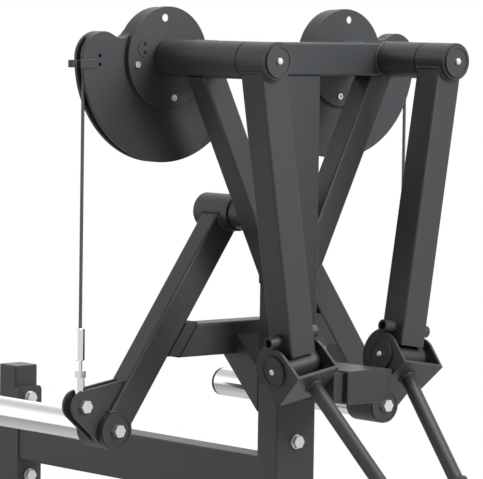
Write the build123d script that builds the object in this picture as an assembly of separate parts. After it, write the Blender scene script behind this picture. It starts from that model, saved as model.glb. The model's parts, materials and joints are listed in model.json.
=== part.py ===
from build123d import *
import math
import os

# Lat pulldown machine, loaded with weight plates. All lengths are in millimetres.
# X runs across the machine, +Y runs away from the user, +Z is up.
# The origin is on the floor, under the middle of the main post and of the floor frame.

# ---- driving dimensions ------------------------------------------------------------------
PIVOT_Z = 1950.0          # height of the two swing-arm axles
PIVOT_X = 195.0           # half the distance between them
ARM_TILT = 9.2            # degrees that each arm leans inward when it rests on the stop
ARM_LENGTH = 491.0        # axle to handle-bracket pivot
ARM_Y = -147.5            # plane of the arm tubes
ARM_TUBE = 52.0
HUB_R = 30.0              # every hub and housing
SHAFT_R = 15.0
RUNNING_GAP = 0.05        # radial play of every shaft in its bush
HUB_FRONT_Y = -184.5
HUB_BACK_Y = -117.5
HOUSING_FRONT_Y = -115.5
HOUSING_BACK_Y = 80.0

POST_W = 85.0
POST_D = 50.0
CROSSBAR_H = 55.0
BRACE_TUBE = 44.0
WALL = 3.0
CORNER = 4.0              # outside corner radius of the square tubes

LOAD_Y = 101.5            # plane of the cams, cables and levers
CAM_RADIUS = 170.0        # rim of the cable lobe
CABLE_PITCH_R = 160.0     # cable centreline on the cam
CABLE_R = 3.0
CAM_THICK = 22.0
GROOVE_W = 10.0
FLANGE_R = 83.0
FLANGE_FRONT_Y = 82.5
FLANGE_HOLES = ((66, 190), (66, 280), (66, 10))   # radius and angle of each bolt
FLANGE_PLUG = (-50, 15)
INDEX_HOLE = (65, 97)     # a pin hole in the flange, widening to the back, over a slot in the cam
INDEX_HOLE_R = 6.0
INDEX_HOLE_BACK_R = 12.0
INDEX_SLOT_HALF = 24.0
INDEX_SLOT_R = 8.0

LEVER_X = 55.0            # lever axle
LEVER_Z = PIVOT_Z - 255.0
HORN_X = 297.5            # weight horn
HORN_Z = PIVOT_Z - 600.0
HORN_R = 25.0             # takes plates with a 50 mm hole
HORN_SPIGOT_R = 22.0      # the part inside the lever's hub
HORN_END_Y = 505.0
HORN_HUB_Y = 79.5         # front and back of the hub that holds the horn
HORN_HUB_BACK_Y = 142.0
CLEVIS_X = PIVOT_X + CABLE_PITCH_R
CLEVIS_Z = PIVOT_Z - 558.0
CLEVIS_GAP = 17.0
CLEVIS_PLATE = 5.0
CLEVIS_PIN_R = 6.0
LEVER_W = 50.0
LEVER_D = 40.0
AXLE_R = 12.5

BUMPER_TOP_Z = PIVOT_Z - 436.0
BUMPER_H = 54.0
BUMPER_D = 45.0
STRUT_LOW = 1344.0        # height minus Y of the strut's two faces
STRUT_HIGH = 1414.0
STOP_Z = PIVOT_Z - 521.5  # arm stop bar
STOP_H = 54.0
STOP_FRONT_Y = -189.0
PAD_THICK = 20.0
PAD_GAP = 0.6             # air between a rubber pad and what rests on it

BEAM_Z = PIVOT_Z - 700.0
BEAM_H = 82.0
BEAM_W = 50.0
REAR_POST_Y = 733.5
REAR_POST_W = 50.0
REAR_POST_TOP_Z = PIVOT_Z - 575.0
FLANGE_PLATE = 10.0
FLANGE_HALF_H = 92.0
BOLT_OFFSET_Z = 71.0

BASE_HALF_L = 795.0
FOOT_PAD_H = 12.0
BASE_H = 50.0
BASE_TOP_Z = FOOT_PAD_H + BASE_H
BASE_W = 75.0
FOOT_TUBE = 60.0
FRONT_FOOT_HALF = 330.0
REAR_FOOT_HALF = 450.0

SEAT_Y = -590.0
SEAT_POST_TOP_Z = 330.0
THIGH_Y = -325.0
THIGH_POST_TOP_Z = 500.0
SEAT_PIN_Z = 290.0
THIGH_PIN_Z = 340.0       # under the seat, clear of its cushion
THIGH_BAR_Z = 680.0
OUTER_TUBE = 60.0
INNER_TUBE = 53.2
ROLLER_R = 55.0
ROLLER_L = 190.0
PIN_HOLE_PITCH = 25.0
PULL_PIN_R = 8.0

BRACKET_PLATE = 5.0
BRACKET_INNER_X = 39.0
CROSS_TUBE_R = 22.0
BRACKET_PIN_R = 10.0
STOP_TUBE_R = 10.0
STOP_TUBE_UP = 47.0
STOP_TUBE_HALF = 50.0
WEB_FRONT = (-53.0, -7.0)     # web corners, (y, z) from the bracket pivot
WEB_BOTTOM = (-5.0, -52.0)
PLATE_ROUND = 2.5
ROD_R = 12.0
ROD_LENGTH = 345.0
ROD_INSET = 8.0           # the rods stand nearer the middle than their brackets
GRIP_R = 17.0
GRIP_LENGTH = 135.0
SHAFT_BACK_Y = LOAD_Y + CAM_THICK / 2 + 2
ANCHOR_Z = PIVOT_Z - 10.0
ANCHOR_HALF_H = 6.0
CABLE_TOP_Z = ANCHOR_Z - ANCHOR_HALF_H
TERMINAL_TOP_Z = CLEVIS_Z + 125.0


# ---- helpers -----------------------------------------------------------------------------
def block(x0, x1, y0, y1, z0, z1):
    """A box between six planes."""
    size = Box(x1 - x0, y1 - y0, z1 - z0)
    return Pos((x0 + x1) / 2, (y0 + y1) / 2, (z0 + z1) / 2) * size


def rod_y(x, z, y0, y1, radius):
    """A round bar along Y."""
    return Pos(x, (y0 + y1) / 2, z) * Rot(90, 0, 0) * Cylinder(radius, y1 - y0)


def rod_x(y, z, x0, x1, radius):
    """A round bar along X."""
    return Pos((x0 + x1) / 2, y, z) * Rot(0, 90, 0) * Cylinder(radius, x1 - x0)


def ring_y(x, z, y0, y1, radius, bore):
    return rod_y(x, z, y0, y1, radius) - rod_y(x, z, y0 - 1, y1 + 1, bore)


def square_tube(width, depth, length, wall=WALL, corner=CORNER):
    """An open square tube along Z, centred on the origin."""
    outer = Box(width, depth, length)
    outer = fillet(outer.edges().filter_by(Axis.Z), corner)
    return outer - Box(width - 2 * wall, depth - 2 * wall, length + 2)


def upright(x, y, z0, z1, width, depth, wall=WALL):
    return Pos(x, y, (z0 + z1) / 2) * square_tube(width, depth, z1 - z0, wall)


def tube_along_y(x, z, y0, y1, width, height, wall=WALL):
    return Pos(x, (y0 + y1) / 2, z) * Rot(90, 0, 0) * square_tube(width, height, y1 - y0, wall)


def tube_along_x(y, z, x0, x1, depth, height, wall=WALL):
    return Pos((x0 + x1) / 2, y, z) * Rot(0, 90, 0) * square_tube(height, depth, x1 - x0, wall)


def slanted(start, end, y, width, depth, wall=WALL):
    """A square tube in the plane Y = y between two (x, z) points. A wall of 0 makes it solid."""
    dx = end[0] - start[0]
    dz = end[1] - start[1]
    length = math.hypot(dx, dz)
    if wall:
        bar = square_tube(width, depth, length, wall)
    else:
        bar = Box(width, depth, length)
    turn = math.degrees(math.atan2(dx, dz))
    return Pos((start[0] + end[0]) / 2, y, (start[1] + end[1]) / 2) * Rot(0, turn, 0) * bar


def hex_y(x, z, y0, y1, across):
    """A hexagonal bar along Y."""
    prism = extrude(RegularPolygon(across / math.sqrt(3), 6), amount=(y1 - y0) / 2, both=True)
    return Pos(x, (y0 + y1) / 2, z) * Rot(90, 0, 0) * prism


def dome_y(x, z, y_seat, radius, height, facing):
    """A dome bolt head that stands on the plane y_seat and faces -Y or +Y."""
    y_tip = y_seat + facing * height
    head = rod_y(x, z, min(y_seat, y_tip), max(y_seat, y_tip), radius)
    rim = head.edges().filter_by(GeomType.CIRCLE).sort_by(Axis.Y)
    return fillet(rim[0] if facing < 0 else rim[-1], height * 0.6)


def polar(radius, degrees):
    return (radius * math.cos(math.radians(degrees)), radius * math.sin(math.radians(degrees)))


def plate_xz(face, y0, y1):
    """A flat plate from a face drawn as (x, z), between two Y planes."""
    return Pos(0, y1, 0) * Rot(90, 0, 0) * extrude(face, amount=y1 - y0)


# ---- fixed frame -------------------------------------------------------------------------
def main_post():
    post = upright(0, 0, BASE_TOP_Z, PIVOT_Z - CROSSBAR_H / 2, POST_W, POST_D)
    for offset in (-BOLT_OFFSET_Z, BOLT_OFFSET_Z):
        post -= rod_y(0, BEAM_Z + offset, -POST_D, POST_D, 6.5)
    return post


def crossbar():
    half = PIVOT_X - 5
    bar = tube_along_x(0, PIVOT_Z, -half, half, POST_D, CROSSBAR_H)
    for side in (-1, 1):
        bar -= rod_y(side * PIVOT_X, PIVOT_Z, -POST_D, POST_D, HUB_R)
    return bar


def pivot_housing():
    return ring_y(-PIVOT_X, PIVOT_Z, HOUSING_FRONT_Y, HOUSING_BACK_Y, HUB_R, 24)


def pivot_bearings():
    """Two flanged bushes, one in each end of a housing."""
    bushes = []
    for y0, y1 in ((HOUSING_FRONT_Y, HOUSING_FRONT_Y + 28), (HOUSING_BACK_Y - 28, HOUSING_BACK_Y)):
        bushes.append(ring_y(-PIVOT_X, PIVOT_Z, y0, y1, 24, SHAFT_R + RUNNING_GAP))
    return bushes


def diagonal_brace():
    """From the underside of a housing down to the side of the post."""
    top = (-PIVOT_X + 7, PIVOT_Z - 20)
    bottom = (-23, PIVOT_Z - 357)
    brace = slanted(top, bottom, 0, BRACE_TUBE, BRACE_TUBE)
    brace -= rod_y(-PIVOT_X, PIVOT_Z, -60, 60, HUB_R)
    brace -= block(-PIVOT_X - 60, 0, -60, 60, PIVOT_Z - CROSSBAR_H / 2, PIVOT_Z + 60)
    return brace - block(-POST_W / 2, POST_W, -60, 60, 0, PIVOT_Z)


def lever_axle():
    """A boss on the back of the brace and post, with the lever's axle in it."""
    boss = rod_y(-LEVER_X, LEVER_Z, BRACE_TUBE / 2, 60.5, HUB_R - 3)
    boss -= block(-POST_W / 2, POST_W / 2, -60, POST_D / 2, LEVER_Z - 60, LEVER_Z + 60)
    return boss + rod_y(-LEVER_X, LEVER_Z, 40, 146.5, AXLE_R)


def lever_line(z):
    """X of the lever's centreline at a height, on the left side."""
    share = (LEVER_Z - z) / (LEVER_Z - HORN_Z)
    return -LEVER_X - share * (HORN_X - LEVER_X)


def lever_turn():
    return math.degrees(math.atan2(HORN_X - LEVER_X, LEVER_Z - HORN_Z))


def beside_lever(distance, thickness, z_low, z_high, depth):
    """A slab parallel to the lever, its outer face this far inside the lever's inner face."""
    z_mid = (z_low + z_high) / 2
    slab = Box(thickness, depth, 400)
    shift = Pos(LEVER_W / 2 + distance + thickness / 2, 0, 0)
    slab = Pos(lever_line(z_mid), LOAD_Y, z_mid) * Rot(0, lever_turn(), 0) * shift * slab
    return slab & block(-600, 600, -600, 600, z_low, z_high)


def bumper_tube():
    """The cross tube behind the post that both levers come to rest on."""
    low = BUMPER_TOP_Z - BUMPER_H
    tube = tube_along_x(LOAD_Y, BUMPER_TOP_Z - BUMPER_H / 2, -230, 230, BUMPER_D, BUMPER_H)
    cut = beside_lever(PAD_THICK + PAD_GAP - 200, 200, low - 20, BUMPER_TOP_Z + 20, 200)
    tube -= cut
    return tube - mirror(cut, Plane.YZ)


def bumper_pad():
    low = BUMPER_TOP_Z - BUMPER_H
    return beside_lever(PAD_GAP, PAD_THICK, low + 3, BUMPER_TOP_Z + 3, BUMPER_D - 6)


def bumper_strut():
    """A tube at 45 degrees from the back of the post to the bumper tube, open at both ends."""
    front = POST_D / 2
    tube_front = LOAD_Y - BUMPER_D / 2
    low = BUMPER_TOP_Z - BUMPER_H

    def side_view(z_minus_y, z_minus_y_top):
        return Polyline((front, front + z_minus_y), (low - z_minus_y, low), (tube_front, low),
                        (tube_front, tube_front + z_minus_y_top), (front, front + z_minus_y_top), close=True)

    inset = WALL * math.sqrt(2)
    outer = extrude(Plane.YZ * make_face(side_view(STRUT_LOW, STRUT_HIGH)), amount=POST_W / 2, both=True)
    hollow = make_face(side_view(STRUT_LOW + inset, STRUT_HIGH - inset))
    return outer - extrude(Plane.YZ * hollow, amount=POST_W / 2 - WALL, both=True)


def arm_stop_bar():
    return tube_along_y(0, STOP_Z, STOP_FRONT_Y, -POST_D / 2, POST_W, STOP_H)


def arm_stop_pad():
    """A rubber block on the side of the stop bar, where the bracket's inner plate comes to rest."""
    tilt = math.radians(ARM_TILT)
    plate_face = BRACKET_INNER_X + BRACKET_PLATE
    reach = ARM_LENGTH - WEB_BOTTOM[1] + PLATE_ROUND
    rest_x = -PIVOT_X + plate_face * math.cos(tilt) + reach * math.sin(tilt) + PAD_GAP
    return block(rest_x, -POST_W / 2, STOP_FRONT_Y + 6, STOP_FRONT_Y + 84, STOP_Z - 24, STOP_Z + 24)


def rear_beam():
    """Beam between the posts, with a flange plate welded on each end."""
    front = POST_D / 2
    back = REAR_POST_Y - REAR_POST_W / 2
    beam = tube_along_y(0, BEAM_Z, front + FLANGE_PLATE, back - FLANGE_PLATE, BEAM_W, BEAM_H)
    for y0 in (front, back - FLANGE_PLATE):
        plate = block(-27, 27, y0, y0 + FLANGE_PLATE, BEAM_Z - FLANGE_HALF_H, BEAM_Z + FLANGE_HALF_H)
        plate = fillet(plate.edges().filter_by(Axis.Y), 8)
        for offset in (-BOLT_OFFSET_Z, BOLT_OFFSET_Z):
            plate -= rod_y(0, BEAM_Z + offset, y0 - 1, y0 + FLANGE_PLATE + 1, 6.5)
        beam += plate
    return beam


def rear_post():
    post = upright(0, REAR_POST_Y, BASE_TOP_Z, REAR_POST_TOP_Z, REAR_POST_W, REAR_POST_W)
    for offset in (-BOLT_OFFSET_Z, BOLT_OFFSET_Z):
        post -= rod_y(0, BEAM_Z + offset, REAR_POST_Y - 60, REAR_POST_Y + 60, 6.5)
    return post


def frame_bolts():
    """Four hex bolts with nuts: two through each post and its flange plate."""
    bolts = []
    spans = ((-POST_D / 2, POST_D / 2 + FLANGE_PLATE),
             (REAR_POST_Y - REAR_POST_W / 2 - FLANGE_PLATE, REAR_POST_Y + REAR_POST_W / 2))
    for y0, y1 in spans:
        for offset in (-BOLT_OFFSET_Z, BOLT_OFFSET_Z):
            z = BEAM_Z + offset
            bolt = rod_y(0, z, y0 - 2, y1 + 12, 6)
            bolt += rod_y(0, z, y0 - 2, y0, 12)
            bolt += hex_y(0, z, y0 - 9, y0 - 2, 19)
            bolt += rod_y(0, z, y1, y1 + 2, 12)
            bolt += hex_y(0, z, y1 + 2, y1 + 11, 19)
            bolts.append(bolt)
    return bolts


def base_rail():
    reach = BASE_HALF_L - FOOT_TUBE
    rail = tube_along_y(0, FOOT_PAD_H + BASE_H / 2, -reach, reach, BASE_W, BASE_H)
    for y, sign in ((POST_D / 2, 1), (-POST_D / 2, -1), (REAR_POST_Y - REAR_POST_W / 2, -1)):
        corner = Polyline((y, BASE_TOP_Z), (y + sign * 110, BASE_TOP_Z), (y, BASE_TOP_Z + 130), close=True)
        gusset = extrude(Plane.YZ * make_face(corner), amount=4, both=True)
        rail += gusset
    return rail


def cross_feet():
    feet = []
    for y, half in ((-BASE_HALF_L + FOOT_TUBE / 2, FRONT_FOOT_HALF),
                    (BASE_HALF_L - FOOT_TUBE / 2, REAR_FOOT_HALF)):
        feet.append(tube_along_x(y, FOOT_PAD_H + BASE_H / 2, -half, half, FOOT_TUBE, BASE_H))
    return feet


def foot_pads():
    """Rubber pads under the ends of the cross feet and under the main post."""
    places = [(x, -BASE_HALF_L + FOOT_TUBE / 2) for x in (-FRONT_FOOT_HALF + 50, FRONT_FOOT_HALF - 50)]
    places += [(x, BASE_HALF_L - FOOT_TUBE / 2) for x in (-REAR_FOOT_HALF + 50, REAR_FOOT_HALF - 50)]
    places += [(0, 0)]
    return [Pos(x, y, FOOT_PAD_H / 2) * Cylinder(28, FOOT_PAD_H) for x, y in places]


def tube_plug(width, depth):
    """A plastic plug for a tube end that opens towards +Z, its cap just above z = 0."""
    cap = Pos(0, 0, 2) * Box(width, depth, 4)
    cap = fillet(cap.edges().filter_by(Axis.Z), CORNER)
    cap = chamfer(cap.faces().sort_by(Axis.Z)[-1].edges(), 1.2)
    return cap + Pos(0, 0, -10) * Box(width - 2 * WALL - 1, depth - 2 * WALL - 1, 20)


def end_caps():
    caps = [Pos(0, REAR_POST_Y, REAR_POST_TOP_Z) * tube_plug(REAR_POST_W, REAR_POST_W)]
    caps.append(Pos(0, STOP_FRONT_Y, STOP_Z) * Rot(90, 0, 0) * tube_plug(POST_W, STOP_H))
    z = FOOT_PAD_H + BASE_H / 2
    for y, half in ((-BASE_HALF_L + FOOT_TUBE / 2, FRONT_FOOT_HALF),
                    (BASE_HALF_L - FOOT_TUBE / 2, REAR_FOOT_HALF)):
        for side in (-1, 1):
            caps.append(Pos(side * half, y, z) * Rot(0, side * 90, 0) * tube_plug(BASE_H, FOOT_TUBE))
    return caps


# ---- seat and thigh rollers --------------------------------------------------------------
def pin_boss(y_face, z):
    """A short sleeve on the front of a tube, for a pull pin."""
    return ring_y(0, z, y_face - 22, y_face, 13, PULL_PIN_R + RUNNING_GAP)


def telescope_post(y, top_z, pin_z):
    """An upright square tube with the sleeve of its pull pin."""
    post = upright(0, y, BASE_TOP_Z, top_z, OUTER_TUBE, OUTER_TUBE)
    post += pin_boss(y - OUTER_TUBE / 2, pin_z)
    face = y - OUTER_TUBE / 2
    return post - rod_y(0, pin_z, face - 1, face + WALL + 1, PULL_PIN_R + RUNNING_GAP)


def pull_pin(y, z):
    """Plunger with a round knob. Its tip stops just outside the inner tube."""
    face = y - OUTER_TUBE / 2
    pin = rod_y(0, z, face - 40, face + WALL - 0.3, PULL_PIN_R)
    knob = rod_y(0, z, face - 66, face - 38, 19)
    knob = fillet(knob.edges().filter_by(GeomType.CIRCLE), 5)
    return pin + knob


def inner_stem(y, z0, z1, first_hole_z, holes):
    stem = upright(0, y, z0, z1, INNER_TUBE, INNER_TUBE)
    for step in range(holes):
        z = first_hole_z + step * PIN_HOLE_PITCH
        stem -= rod_y(0, z, y - INNER_TUBE, y, 8.2)
    return stem


def seat_stem():
    stem = inner_stem(SEAT_Y, BASE_TOP_Z + 60, 420, BASE_TOP_Z + 80, 8)
    plate = block(-90, 90, SEAT_Y - 110, SEAT_Y + 110, 420, 426)
    return stem + fillet(plate.edges().filter_by(Axis.Z), 12)


def seat_cushion():
    """Padded seat on its board, wider at the back."""
    outline = Polyline((-160, SEAT_Y + 190), (-190, SEAT_Y - 190), (190, SEAT_Y - 190),
                       (160, SEAT_Y + 190), close=True)
    board = extrude(fillet(make_face(outline).vertices(), 45), amount=66)
    pad = Pos(0, 0, 426) * board
    return fillet(pad.faces().sort_by(Axis.Z)[-1].edges(), 18)


def thigh_carriage():
    """Inner tube of the thigh rest with the bar that carries the rollers."""
    stem = inner_stem(THIGH_Y, BASE_TOP_Z + 160, THIGH_BAR_Z - 12, BASE_TOP_Z + 180, 10)
    bar_half = INNER_TUBE / 2 + 8 + ROLLER_L + 12
    bar = rod_x(THIGH_Y, THIGH_BAR_Z, -bar_half, bar_half, AXLE_R)
    collars = Part()
    for side in (-1, 1):
        inner = side * (INNER_TUBE / 2 + 3)
        outer = side * (bar_half - 8)
        collars += rod_x(THIGH_Y, THIGH_BAR_Z, min(inner, inner + side * 4), max(inner, inner + side * 4), 20)
        collars += rod_x(THIGH_Y, THIGH_BAR_Z, min(outer, outer + side * 8), max(outer, outer + side * 8), 20)
    head = block(-INNER_TUBE / 2, INNER_TUBE / 2, THIGH_Y - INNER_TUBE / 2, THIGH_Y + INNER_TUBE / 2,
                 THIGH_BAR_Z - 24, THIGH_BAR_Z + 20)
    head = fillet(head.edges().filter_by(Axis.X), 8)
    return stem + head + bar + collars


def foam_roller():
    start = INNER_TUBE / 2 + 8
    roller = rod_x(THIGH_Y, THIGH_BAR_Z, -start - ROLLER_L, -start, ROLLER_R)
    roller = fillet(roller.edges().filter_by(GeomType.CIRCLE), 12)
    return roller - rod_x(THIGH_Y, THIGH_BAR_Z, -400, 0, AXLE_R + RUNNING_GAP)


# ---- left swing arm (the right one is its mirror image) ----------------------------------
def on_arm(shape):
    """Places a shape drawn about the arm's axle, with the arm hanging along -Z."""
    return Pos(-PIVOT_X, ARM_Y, PIVOT_Z) * Rot(0, -ARM_TILT, 0) * shape


def bracket_point():
    return Pos(0, 0, -ARM_LENGTH)


def swing_arm():
    """Hub, arm tube, cross tube for the handle bracket and stop tube, welded together."""
    tube_length = ARM_LENGTH - CROSS_TUBE_R + 2
    tube = Pos(0, 0, -tube_length / 2) * square_tube(ARM_TUBE, ARM_TUBE, tube_length)
    hub = rod_y(0, 0, HUB_FRONT_Y - ARM_Y, HUB_BACK_Y - ARM_Y, HUB_R)
    cross = bracket_point() * rod_x(0, 0, -38.5, 38.5, CROSS_TUBE_R)
    stop = Pos(0, 0, -ARM_LENGTH + STOP_TUBE_UP)
    arm = tube + hub + cross + stop * rod_x(0, 0, -STOP_TUBE_HALF, STOP_TUBE_HALF, STOP_TUBE_R)
    arm -= rod_y(0, 0, -60, 60, SHAFT_R)
    arm -= bracket_point() * rod_x(0, 0, -60, 60, BRACKET_PIN_R + RUNNING_GAP)
    arm -= stop * rod_x(0, 0, -60, 60, STOP_TUBE_R - 3)
    return on_arm(arm)


def pivot_shaft():
    return rod_y(-PIVOT_X, PIVOT_Z, HUB_FRONT_Y, SHAFT_BACK_Y, SHAFT_R)


def end_cap(x, z, y_seat, facing, radius):
    """A round cover with a raised rim."""
    depth = 4.0
    y_face = y_seat + facing * depth
    disc = rod_y(x, z, min(y_seat, y_face), max(y_seat, y_face), radius)
    recess_y = y_face - facing * 1.2
    return disc - rod_y(x, z, min(recess_y, y_face), max(recess_y, y_face), radius - 4)


def arm_caps():
    """Covers on the two ends of the arm's shaft, and the plug in the flange."""
    front_cap = end_cap(-PIVOT_X, PIVOT_Z, HUB_FRONT_Y, -1, 26)
    back_cap = end_cap(-PIVOT_X, PIVOT_Z, SHAFT_BACK_Y, 1, 26)
    x, z = on_axle(*FLANGE_PLUG)
    plug = rod_y(x, z, FLANGE_FRONT_Y - 0.8, FLANGE_FRONT_Y + 3, 13.6)
    for dz in (-7, 7):
        plug -= rod_y(x, z + dz, FLANGE_FRONT_Y - 2, FLANGE_FRONT_Y + 2, 3)
    return [front_cap, back_cap, plug]


def cam_outline():
    """A cable lobe, a rounded corner at the cable's anchor and a round part over the flange."""
    corner_r = 42.0
    corner_x = -(CAM_RADIUS - corner_r)
    fillet_r = 25.0
    lobe_end = 312.0
    to_disc = FLANGE_R + fillet_r
    to_corner = corner_r + fillet_r
    valley_x = (to_disc ** 2 - to_corner ** 2 + corner_x ** 2) / (2 * corner_x)
    valley_y = math.sqrt(to_disc ** 2 - valley_x ** 2)
    sweep = [polar(CAM_RADIUS + 30, angle) for angle in (180, 215, 250, 285, lobe_end)]
    wedge = make_face(Polyline((0, 0), *sweep, close=True))
    lobe = Circle(CAM_RADIUS) & wedge
    corner = Pos(corner_x, 0) * Circle(corner_r)
    bridge = make_face(Polyline((0, 0), (corner_x, 0), (valley_x, valley_y), close=True))
    bridge -= Pos(valley_x, valley_y) * Circle(fillet_r)
    disc_r = FLANGE_R - 1
    tip = polar(CAM_RADIUS, lobe_end)
    tangent = lobe_end + math.degrees(math.acos(disc_r / CAM_RADIUS))
    closing = make_face(Polyline((0, 0), tip, polar(disc_r, tangent), close=True))
    outline = Circle(disc_r) + lobe + corner + bridge + closing
    sharp = outline.vertices().sort_by_distance((tip[0], tip[1], 0))[0]
    return fillet(sharp, 28)


def on_axle(x_rel, z_rel):
    return (-PIVOT_X + x_rel, PIVOT_Z + z_rel)


def cam():
    """Two cheeks with the cable groove between them along the lobe."""
    front = LOAD_Y - CAM_THICK / 2
    back = LOAD_Y + CAM_THICK / 2
    body = Pos(-PIVOT_X, 0, PIVOT_Z) * plate_xz(cam_outline(), front, back)
    body = chamfer(body.faces().sort_by(Axis.Y)[0].edges(), 1.0)
    floor_r = CABLE_PITCH_R - CABLE_R
    groove = Circle(CAM_RADIUS + 30) - Circle(floor_r)
    spread = [polar(CAM_RADIUS + 90, angle) for angle in (166, 200, 240, 280, 314)]
    groove &= make_face(Polyline((0, 0), *spread, close=True))
    y0 = LOAD_Y - GROOVE_W / 2
    body -= Pos(-PIVOT_X, 0, PIVOT_Z) * plate_xz(groove, y0, y0 + GROOVE_W)
    body -= rod_y(-PIVOT_X, PIVOT_Z, front - 1, back + 1, SHAFT_R)
    for radius, degrees in FLANGE_HOLES:
        x, z = on_axle(*polar(radius, degrees))
        body -= rod_y(x, z, front - 1, back + 1, 4)
    x, z = on_axle(*polar(*INDEX_HOLE))
    ends = Pos(x - INDEX_SLOT_HALF, z) * Circle(INDEX_SLOT_R) + Pos(x + INDEX_SLOT_HALF, z) * Circle(INDEX_SLOT_R)
    body -= plate_xz(make_hull(ends.edges()), front - 1, back + 1)
    for z_rel in (3, -11):
        x, z = on_axle(-135, z_rel)
        body -= rod_y(x, z, front - 1, front + 5, 3)
    return body


def cam_flange():
    """Raised disc on the cam's front, with one open index hole and a round recess."""
    back = LOAD_Y - CAM_THICK / 2
    disc = rod_y(-PIVOT_X, PIVOT_Z, FLANGE_FRONT_Y, back, FLANGE_R)
    disc = chamfer(disc.edges().filter_by(GeomType.CIRCLE).sort_by(Axis.Y)[0], 0.8)
    disc -= rod_y(-PIVOT_X, PIVOT_Z, FLANGE_FRONT_Y - 1, back + 1, SHAFT_R)
    for radius, degrees in FLANGE_HOLES:
        x, z = on_axle(*polar(radius, degrees))
        disc -= rod_y(x, z, FLANGE_FRONT_Y - 1, back + 1, 4)
    x, z = on_axle(*polar(*INDEX_HOLE))
    funnel = Cone(INDEX_HOLE_BACK_R, INDEX_HOLE_R, back - FLANGE_FRONT_Y)
    disc -= Pos(x, (FLANGE_FRONT_Y + back) / 2, z) * Rot(90, 0, 0) * funnel
    x, z = on_axle(*FLANGE_PLUG)
    return disc - rod_y(x, z, FLANGE_FRONT_Y - 1, FLANGE_FRONT_Y + 3, 14)


def cam_fasteners():
    """Three socket bolts through the flange and cam, and a dome bolt on each end of the shaft."""
    back = LOAD_Y + CAM_THICK / 2
    pieces = [dome_y(-PIVOT_X, PIVOT_Z, HUB_FRONT_Y - 2.8, 5.5, 5, -1),
              dome_y(-PIVOT_X, PIVOT_Z, SHAFT_BACK_Y + 2.8, 5.5, 5, 1)]
    for radius, degrees in FLANGE_HOLES:
        x, z = on_axle(*polar(radius, degrees))
        bolt = rod_y(x, z, FLANGE_FRONT_Y, back + 3, 4)
        bolt += rod_y(x, z, FLANGE_FRONT_Y - 3, FLANGE_FRONT_Y, 5.2)
        bolt -= hex_y(x, z, FLANGE_FRONT_Y - 5, FLANGE_FRONT_Y - 1, 5)
        bolt += hex_y(x, z, back, back + 6, 13)
        pieces.append(bolt)
    return pieces


def cable_anchor():
    """Block in the groove that the cable's end is clamped in."""
    floor_x = -PIVOT_X - (CABLE_PITCH_R - CABLE_R)
    anchor = block(floor_x - 31, floor_x - 0.5, LOAD_Y - 4.8, LOAD_Y + 4.8, ANCHOR_Z - ANCHOR_HALF_H,
                   ANCHOR_Z + ANCHOR_HALF_H)
    anchor = chamfer(anchor.faces().sort_by(Axis.X)[0].edges(), 1.5)
    return anchor


# ---- left handle bracket -----------------------------------------------------------------
def bracket_outline():
    """Side plate as (y, z) about the bracket pivot: a disc, the web's corners and a stop ear."""
    disc_r = 36.0
    ear_r = 43.0
    corners = Pos(*WEB_FRONT) * Circle(PLATE_ROUND) + Pos(*WEB_BOTTOM) * Circle(PLATE_ROUND)
    body = make_hull((Circle(disc_r) + corners).edges())
    rim = [polar(ear_r + 20, angle) for angle in (-40, 0, 40, 77)]
    ear = Circle(ear_r) & make_face(Polyline((0, 0), *rim, close=True))
    return body + ear


def plate_yz(face, x0, x1):
    """A flat plate from a face drawn as (y, z), between two X planes."""
    return Pos(x0, 0, 0) * extrude(Plane.YZ * face, amount=x1 - x0)


def bracket_side(side):
    """The outer face of a side plate, as a place for a shape drawn facing -Y."""
    return Pos(side * (BRACKET_INNER_X + BRACKET_PLATE), 0, 0) * Rot(0, 0, side * 90)


def handle_bracket():
    """Two side plates, the slanted web that the handle rod is welded to, and the pin's covers."""
    outline = bracket_outline()
    outer_x = BRACKET_INNER_X + BRACKET_PLATE
    bracket = plate_yz(outline, -outer_x, -BRACKET_INNER_X) + plate_yz(outline, BRACKET_INNER_X, outer_x)
    (y0, z0), (y1, z1) = WEB_FRONT, WEB_BOTTOM
    web_len = math.hypot(y1 - y0, z1 - z0) + 5
    lean = math.degrees(math.atan2(z1 - z0, y1 - y0))
    web = Rot(lean, 0, 0) * Box(2 * outer_x, web_len, BRACKET_PLATE)
    bracket += Pos(0, (y0 + y1) / 2, (z0 + z1) / 2) * web
    bracket -= rod_x(0, 0, -60, 60, BRACKET_PIN_R)
    pieces = [bracket]
    for side in (-1, 1):
        pieces.append(bracket_side(side) * end_cap(0, 0, 0, -1, 25.5))
    return [on_arm(bracket_point() * piece) for piece in pieces]


def bracket_pin():
    """Pin through the cross tube, with a dome bolt at each end."""
    outer_x = BRACKET_INNER_X + BRACKET_PLATE
    pin = rod_x(0, 0, -outer_x, outer_x, BRACKET_PIN_R)
    pieces = [pin]
    for side in (-1, 1):
        pieces.append(bracket_side(side) * dome_y(0, 0, -2.8, 5, 4.5, -1))
    return [on_arm(bracket_point() * piece) for piece in pieces]


def along_rod(shape):
    """Places a shape drawn along +Z from the web's outer face, at the web's middle."""
    y_mid = (WEB_FRONT[0] + WEB_BOTTOM[0]) / 2
    z_mid = (WEB_FRONT[1] + WEB_BOTTOM[1]) / 2
    run = math.atan2(WEB_BOTTOM[1] - WEB_FRONT[1], WEB_BOTTOM[0] - WEB_FRONT[0])
    normal_y = math.sin(run)
    normal_z = -math.cos(run)
    turn = math.degrees(math.atan2(-normal_y, normal_z))
    start = Pos(ROD_INSET, y_mid + normal_y * BRACKET_PLATE / 2, z_mid + normal_z * BRACKET_PLATE / 2)
    return on_arm(bracket_point() * start * Rot(turn, 0, 0) * shape)


def handle_rod():
    rod = Pos(0, 0, ROD_LENGTH / 2) * Cylinder(ROD_R, ROD_LENGTH)
    return along_rod(rod)


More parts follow.
